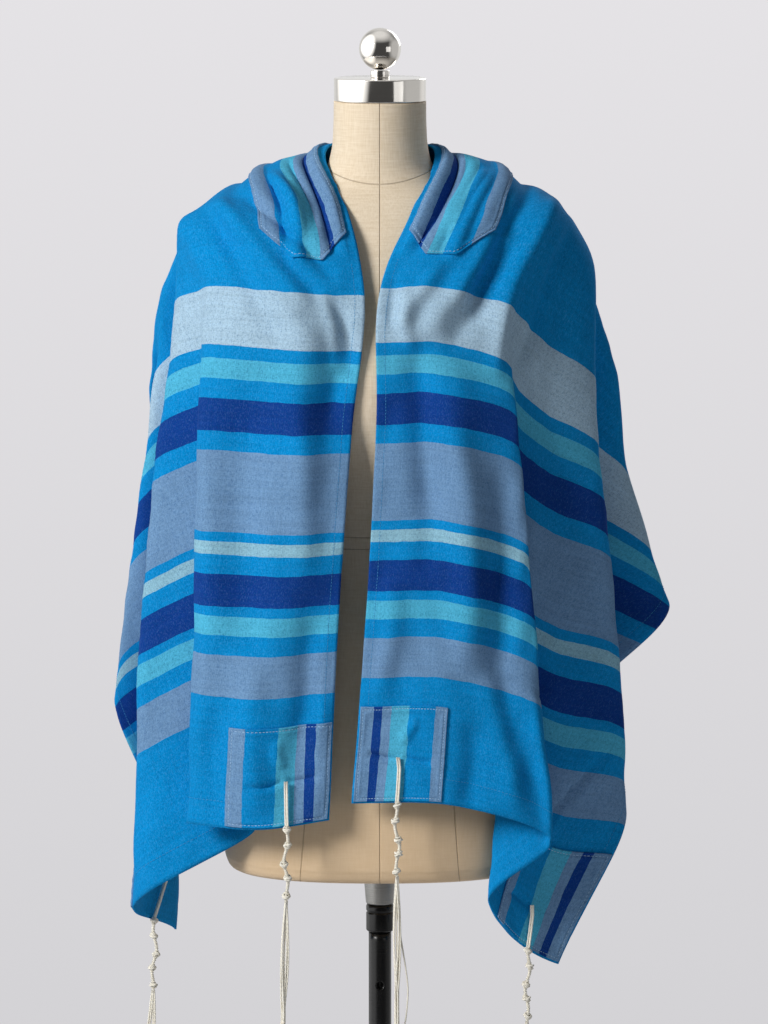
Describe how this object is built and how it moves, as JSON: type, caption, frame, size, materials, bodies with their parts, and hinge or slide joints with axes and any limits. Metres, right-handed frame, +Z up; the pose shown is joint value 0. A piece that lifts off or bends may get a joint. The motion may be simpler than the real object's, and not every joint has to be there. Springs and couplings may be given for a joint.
{
  "type": "tallit prayer shawl on a dress form",
  "caption": "Striped woven prayer shawl with neckband, corner patches and knotted corner cords, draped on a limbless dress form and pole stand.",
  "frame": {"origin": "middle of the base plate's underside, on the axis of the pole", "axes": "+Z up along the pole; -Y is the open front of the shawl; +X is to the right of someone who faces that front"},
  "size_m": [0.5583, 0.38, 1.5694],
  "materials": {
    "shawl_cloth": "plain weave with lengthwise repeats of cross stripes, matt",
    "striped_band_cloth": "striped plain weave with stitched edges, matt",
    "tassel_cord": "twisted undyed cord",
    "form_canvas": "stretched canvas, satin",
    "chromed_metal": "polished",
    "brushed_metal": "satin",
    "black_lacquer": "gloss"
  },
  "bodies": {
    "root": {"shawl": "shawl_cloth", "neckband": "striped_band_cloth", "patch_front_left": "striped_band_cloth", "patch_front_right": "striped_band_cloth", "patch_back_left": "striped_band_cloth", "patch_back_right": "striped_band_cloth", "tassel_front_left": "tassel_cord", "tassel_front_right": "tassel_cord", "tassel_back_left": "tassel_cord", "tassel_back_right": "tassel_cord", "form_torso": "form_canvas", "form_neck_cap": "chromed_metal", "form_finial_stem": "chromed_metal", "form_finial_ball": "chromed_metal", "form_socket": "brushed_metal", "form_collar": "black_lacquer", "form_pole": "black_lacquer", "form_hub": "black_lacquer", "form_base": "black_lacquer"}
  },
  "joints": []
}
